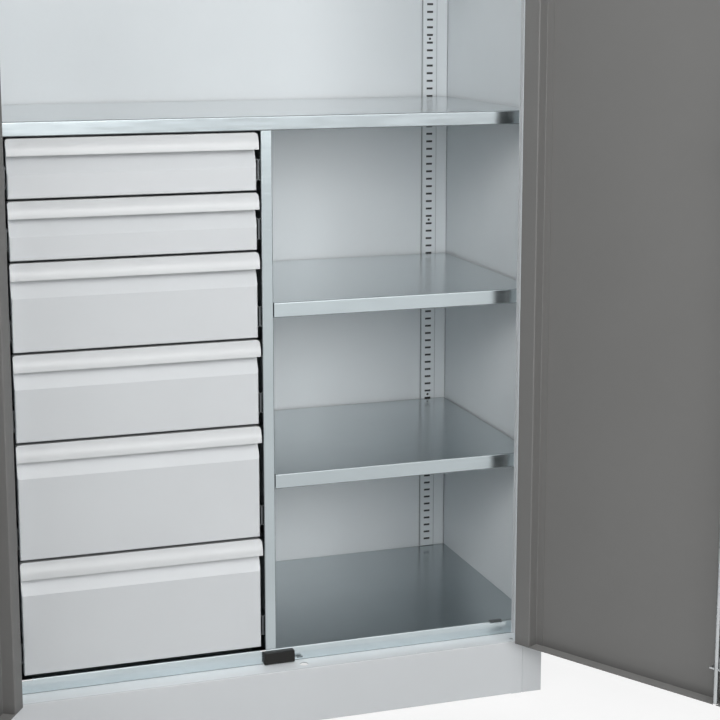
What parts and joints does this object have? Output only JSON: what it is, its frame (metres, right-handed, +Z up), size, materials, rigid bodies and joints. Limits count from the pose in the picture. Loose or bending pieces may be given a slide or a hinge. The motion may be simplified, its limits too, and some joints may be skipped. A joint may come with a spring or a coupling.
{
  "type": "workshop cupboard with drawers",
  "caption": "Tall two-door sheet steel workshop cupboard with a drawer stack on the left, half-width and full-width shelves, and a lever handle with lock rods.",
  "frame": {"origin": "on the floor, at the middle of the closed cupboard's footprint", "axes": "+X to the right seen from the front, +Y from the front to the back, +Z up"},
  "size_m": [1.3736, 0.9321, 1.95],
  "materials": {
    "casing_paint": "satin powder coat",
    "galvanised_sheet": "bright galvanised",
    "zinc_plated_steel": "zinc plated",
    "door_paint": "satin powder coat",
    "satin_steel": "satin",
    "black_plastic": "matte",
    "drawer_paint": "satin powder coat",
    "grip_plastic": "satin"
  },
  "bodies": {
    "cabinet": {"side_panel_left": "casing_paint", "side_panel_right": "casing_paint", "back_panel": "casing_paint", "top_panel": "casing_paint", "floor_panel": "galvanised_sheet", "plinth_frame": "casing_paint", "divider_panel": "galvanised_sheet", "drawer_carrier_panel": "galvanised_sheet", "slotted_rails": "casing_paint", "middle_shelf": "galvanised_sheet", "upper_shelf": "galvanised_sheet", "half_shelf_upper": "galvanised_sheet", "half_shelf_lower": "galvanised_sheet", "shelf_clips": "zinc_plated_steel", "door_stop_block": "black_plastic", "frame_hinge_leaves": "door_paint", "hinge_pins": "zinc_plated_steel", "cabinet_slides": "zinc_plated_steel"},
    "right_door": {"right_door_leaf": "door_paint", "right_door_hinge_leaves": "door_paint", "lock_rose": "satin_steel", "lock_case": "zinc_plated_steel", "rod_guides": "zinc_plated_steel"},
    "handle": {"door_handle": "satin_steel", "lock_disc": "zinc_plated_steel"},
    "upper_rod": {"upper_lock_rod": "zinc_plated_steel"},
    "lower_rod": {"lower_lock_rod": "zinc_plated_steel"},
    "left_door": {"left_door_leaf": "door_paint", "left_door_hinge_leaves": "door_paint", "closing_strip": "door_paint"},
    "drawer_1": {"drawer_1_box": "drawer_paint", "drawer_1_front": "drawer_paint", "drawer_1_grip": "grip_plastic", "drawer_1_inner_slides": "zinc_plated_steel"},
    "drawer_1_slides": {"drawer_1_middle_slides": "zinc_plated_steel"},
    "drawer_2": {"drawer_2_box": "drawer_paint", "drawer_2_front": "drawer_paint", "drawer_2_grip": "grip_plastic", "drawer_2_inner_slides": "zinc_plated_steel"},
    "drawer_2_slides": {"drawer_2_middle_slides": "zinc_plated_steel"},
    "drawer_3": {"drawer_3_box": "drawer_paint", "drawer_3_front": "drawer_paint", "drawer_3_grip": "grip_plastic", "drawer_3_inner_slides": "zinc_plated_steel"},
    "drawer_3_slides": {"drawer_3_middle_slides": "zinc_plated_steel"},
    "drawer_4": {"drawer_4_box": "drawer_paint", "drawer_4_front": "drawer_paint", "drawer_4_grip": "grip_plastic", "drawer_4_inner_slides": "zinc_plated_steel"},
    "drawer_4_slides": {"drawer_4_middle_slides": "zinc_plated_steel"},
    "drawer_5": {"drawer_5_box": "drawer_paint", "drawer_5_front": "drawer_paint", "drawer_5_grip": "grip_plastic", "drawer_5_inner_slides": "zinc_plated_steel"},
    "drawer_5_slides": {"drawer_5_middle_slides": "zinc_plated_steel"},
    "drawer_6": {"drawer_6_box": "drawer_paint", "drawer_6_front": "drawer_paint", "drawer_6_grip": "grip_plastic", "drawer_6_inner_slides": "zinc_plated_steel"},
    "drawer_6_slides": {"drawer_6_middle_slides": "zinc_plated_steel"}
  },
  "joints": [
    {"name": "right_door_hinge", "type": "hinge", "parent": "cabinet", "child": "right_door", "pos_m": [0.461, -0.254, 1.0075], "axis": [0, 0, 1], "range_deg": [-120, 0]},
    {"name": "left_door_hinge", "type": "hinge", "parent": "cabinet", "child": "left_door", "pos_m": [-0.461, -0.254, 1.0075], "axis": [0, 0, -1], "range_deg": [-120, 0]},
    {"name": "handle_turn", "type": "hinge", "parent": "right_door", "child": "handle", "pos_m": [0.66104, -0.60847, 1.01], "axis": [0.866, 0.5, 0], "range_deg": [-90, 0]},
    {"name": "upper_rod_slide", "type": "slide", "parent": "right_door", "child": "upper_rod", "axis": [0, 0, 1], "range_m": [0, 0.01556]},
    {"name": "lower_rod_slide", "type": "slide", "parent": "right_door", "child": "lower_rod", "axis": [0, 0, -1], "range_m": [0, 0.01556]},
    {"name": "drawer_1_slide", "type": "slide", "parent": "cabinet", "child": "drawer_1", "axis": [0, -1, 0], "range_m": [0, 0.4]},
    {"name": "drawer_1_middle_slide", "type": "slide", "parent": "cabinet", "child": "drawer_1_slides", "axis": [0, -1, 0], "range_m": [0, 0.2]},
    {"name": "drawer_2_slide", "type": "slide", "parent": "cabinet", "child": "drawer_2", "axis": [0, -1, 0], "range_m": [0, 0.4]},
    {"name": "drawer_2_middle_slide", "type": "slide", "parent": "cabinet", "child": "drawer_2_slides", "axis": [0, -1, 0], "range_m": [0, 0.2]},
    {"name": "drawer_3_slide", "type": "slide", "parent": "cabinet", "child": "drawer_3", "axis": [0, -1, 0], "range_m": [0, 0.4]},
    {"name": "drawer_3_middle_slide", "type": "slide", "parent": "cabinet", "child": "drawer_3_slides", "axis": [0, -1, 0], "range_m": [0, 0.2]},
    {"name": "drawer_4_slide", "type": "slide", "parent": "cabinet", "child": "drawer_4", "axis": [0, -1, 0], "range_m": [0, 0.4]},
    {"name": "drawer_4_middle_slide", "type": "slide", "parent": "cabinet", "child": "drawer_4_slides", "axis": [0, -1, 0], "range_m": [0, 0.2]},
    {"name": "drawer_5_slide", "type": "slide", "parent": "cabinet", "child": "drawer_5", "axis": [0, -1, 0], "range_m": [0, 0.4]},
    {"name": "drawer_5_middle_slide", "type": "slide", "parent": "cabinet", "child": "drawer_5_slides", "axis": [0, -1, 0], "range_m": [0, 0.2]},
    {"name": "drawer_6_slide", "type": "slide", "parent": "cabinet", "child": "drawer_6", "axis": [0, -1, 0], "range_m": [0, 0.4]},
    {"name": "drawer_6_middle_slide", "type": "slide", "parent": "cabinet", "child": "drawer_6_slides", "axis": [0, -1, 0], "range_m": [0, 0.2]}
  ],
  "couplings": [
    {"joint": "upper_rod_slide", "follows": "handle_turn", "m_per_rad": -0.0099034},
    {"joint": "lower_rod_slide", "follows": "handle_turn", "m_per_rad": -0.0099034},
    {"joint": "drawer_1_middle_slide", "follows": "drawer_1_slide", "ratio": 0.5},
    {"joint": "drawer_2_middle_slide", "follows": "drawer_2_slide", "ratio": 0.5},
    {"joint": "drawer_3_middle_slide", "follows": "drawer_3_slide", "ratio": 0.5},
    {"joint": "drawer_4_middle_slide", "follows": "drawer_4_slide", "ratio": 0.5},
    {"joint": "drawer_5_middle_slide", "follows": "drawer_5_slide", "ratio": 0.5},
    {"joint": "drawer_6_middle_slide", "follows": "drawer_6_slide", "ratio": 0.5}
  ]
}
